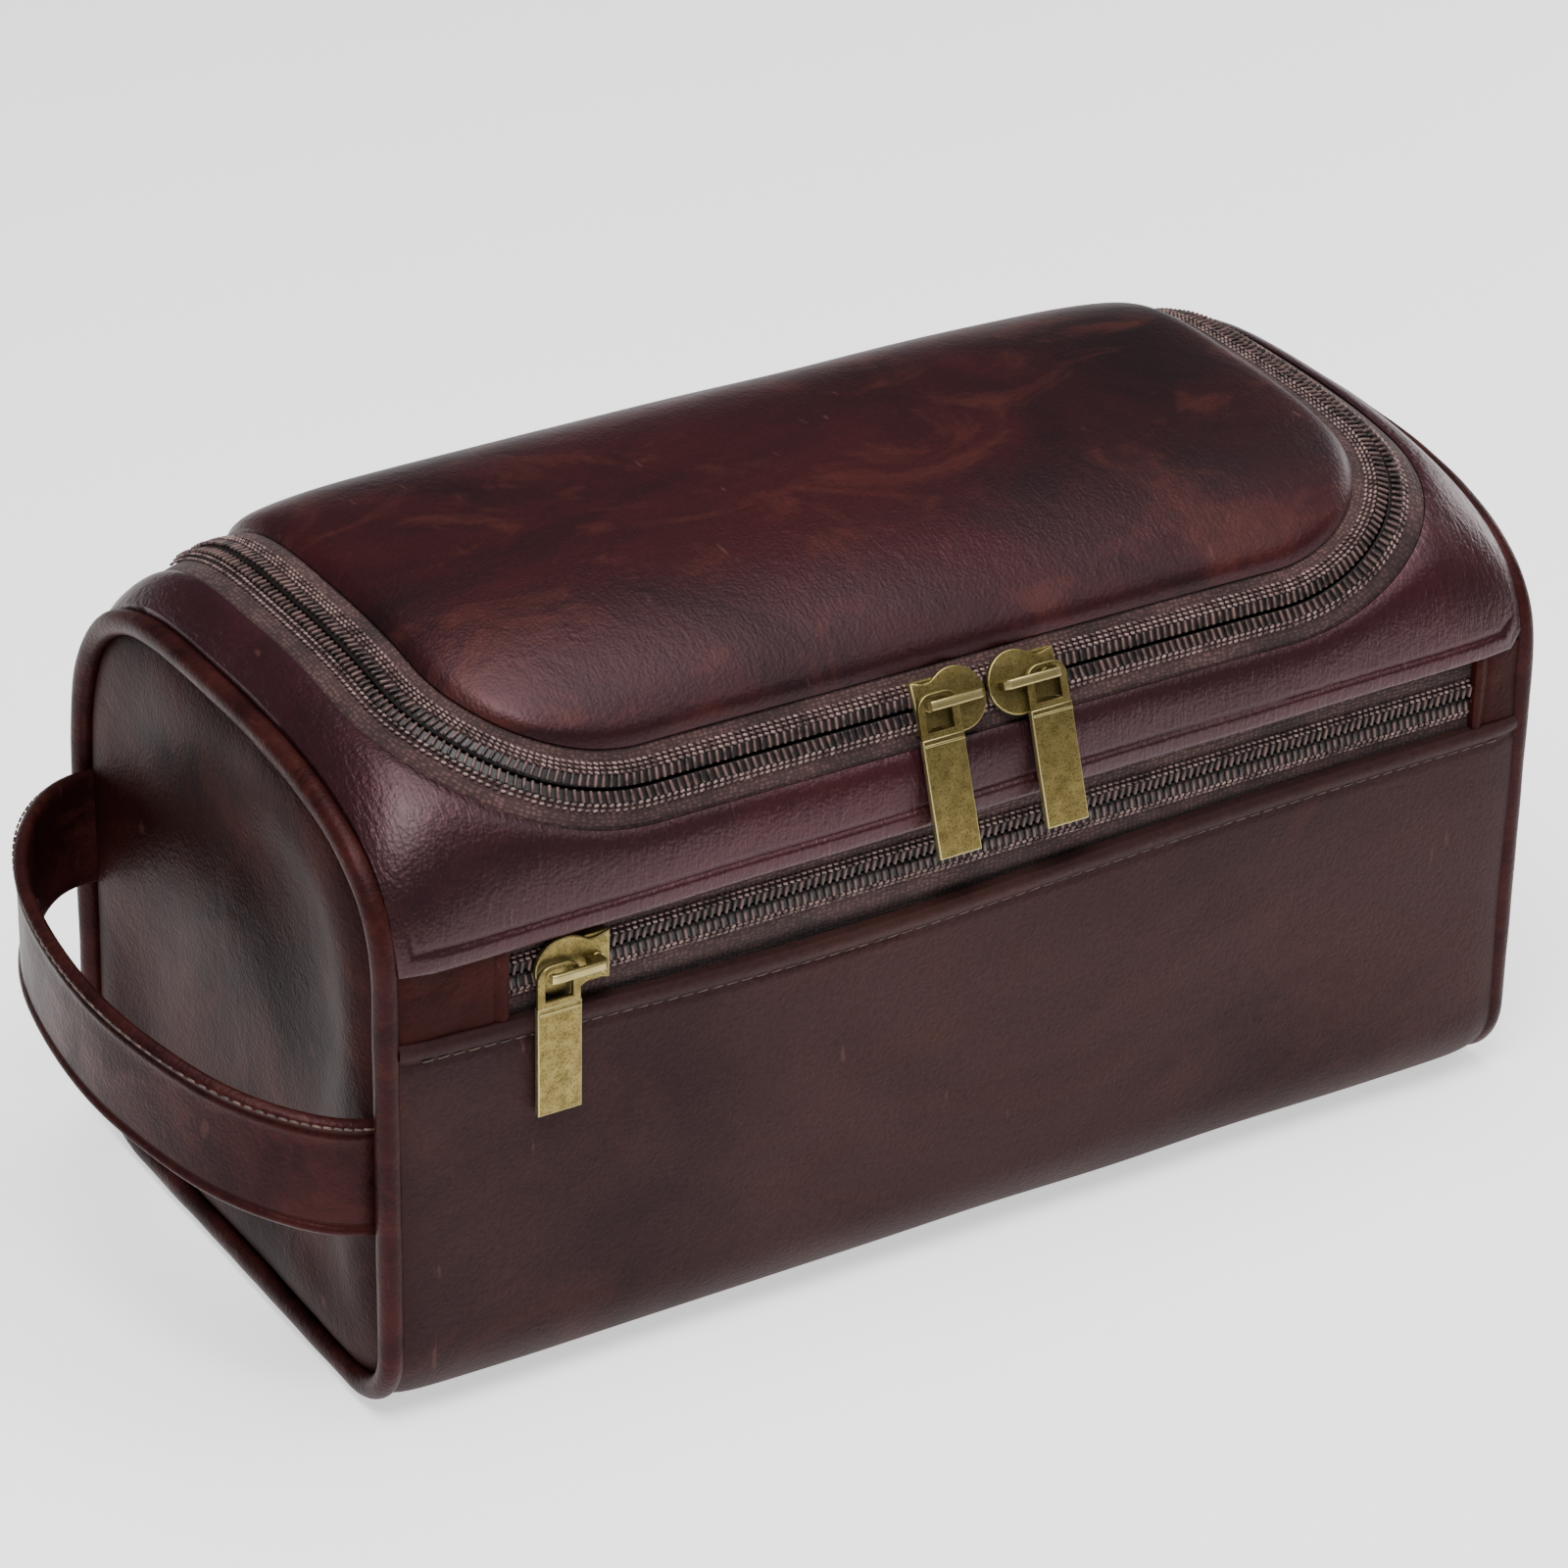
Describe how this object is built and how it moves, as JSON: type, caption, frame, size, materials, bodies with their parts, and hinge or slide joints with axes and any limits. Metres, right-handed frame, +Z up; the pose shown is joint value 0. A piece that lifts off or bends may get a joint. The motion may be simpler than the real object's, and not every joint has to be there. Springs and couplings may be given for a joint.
{
  "type": "shaving kit bag",
  "caption": "Loaf-shaped leather wash bag with a U-shaped zip round its lid, a flat zipped front pocket and a strap handle on one end.",
  "frame": {"origin": "middle of the flat base panel's outer face, where the bag stands", "axes": "+Z up, +X along the bag's length away from the handle, -Y towards the zipped front pocket"},
  "size_m": [0.2918, 0.1392, 0.143],
  "materials": {
    "leather": "burnished brown pull-up leather, semi-gloss",
    "end_leather": "soft brown leather, satin",
    "piping_leather": "brown leather drawn round a cord, semi-gloss",
    "tape": "woven polyester zip tape, matte",
    "coil": "nylon coil teeth",
    "brass": "antiqued cast brass, brushed",
    "lining": "plain woven nylon lining, matte",
    "foam": "padding and stiffening board, matte"
  },
  "bodies": {
    "bag": {"back_foam": "foam", "back_panel": "leather", "base_board": "foam", "base_panel": "leather", "body_coil": "coil", "body_lining": "lining", "body_tape": "tape", "front_board": "foam", "front_pocket_panel": "leather", "handle_ear_back": "leather", "handle_ear_front": "leather", "hinge_strip": "tape", "left_end_lining": "lining", "left_end_panel": "end_leather", "left_piping": "piping_leather", "pocket_coil_lower": "coil", "pocket_coil_upper": "coil", "pocket_edge_binding": "leather", "pocket_end_tab_left": "leather", "pocket_end_tab_right": "leather", "pocket_lining": "lining", "pocket_tape_lower": "tape", "pocket_tape_upper": "tape", "right_end_lining": "lining", "right_end_panel": "end_leather", "right_piping": "piping_leather", "slip_pocket": "lining", "yoke_hem": "leather", "yoke_lining": "lining", "yoke_panel": "leather"},
    "lid": {"lid_panel": "leather", "lid_tape": "tape", "lid_coil": "coil", "lid_foam": "foam", "lid_lining": "lining"},
    "left_slider": {"left_slider": "brass"},
    "right_slider": {"right_slider": "brass"},
    "left_pull": {"left_pull": "brass"},
    "right_pull": {"right_pull": "brass"},
    "pocket_slider": {"pocket_slider": "brass"},
    "pocket_pull": {"pocket_pull": "brass"},
    "handle": {"handle_strap": "leather", "handle_backing": "leather"}
  },
  "joints": [
    {"name": "lid_hinge", "type": "hinge", "parent": "bag", "child": "lid", "pos_m": [0, 0.052, 0.1298], "axis": [-1, 0, 0], "range_deg": [0, 110]},
    {"name": "left_slider_slide", "type": "slide", "parent": "lid", "child": "left_slider", "axis": [1, 0, 0], "range_m": [-0.048, 0]},
    {"name": "right_slider_slide", "type": "slide", "parent": "lid", "child": "right_slider", "axis": [1, 0, 0], "range_m": [0, 0.046]},
    {"name": "left_pull_swing", "type": "hinge", "parent": "left_slider", "child": "left_pull", "pos_m": [-0.0109, -0.06437, 0.12255], "axis": [-1, 0, 0], "range_deg": [0, 150]},
    {"name": "right_pull_swing", "type": "hinge", "parent": "right_slider", "child": "right_pull", "pos_m": [0.0132, -0.06437, 0.12255], "axis": [-1, 0, 0], "range_deg": [0, 150]},
    {"name": "pocket_slider_slide", "type": "slide", "parent": "bag", "child": "pocket_slider", "axis": [1, 0, 0], "range_m": [0, 0.19]},
    {"name": "pocket_pull_swing", "type": "hinge", "parent": "pocket_slider", "child": "pocket_pull", "pos_m": [-0.0944, -0.0695, 0.09076], "axis": [-1, 0, 0], "range_deg": [0, 150]},
    {"name": "handle_swing", "type": "hinge", "parent": "bag", "child": "handle", "pos_m": [-0.126, 0, 0.06], "axis": [0, 0.9921, 0.1257], "range_deg": [-15, 15], "stiffness_Nm_per_rad": 0.1}
  ]
}
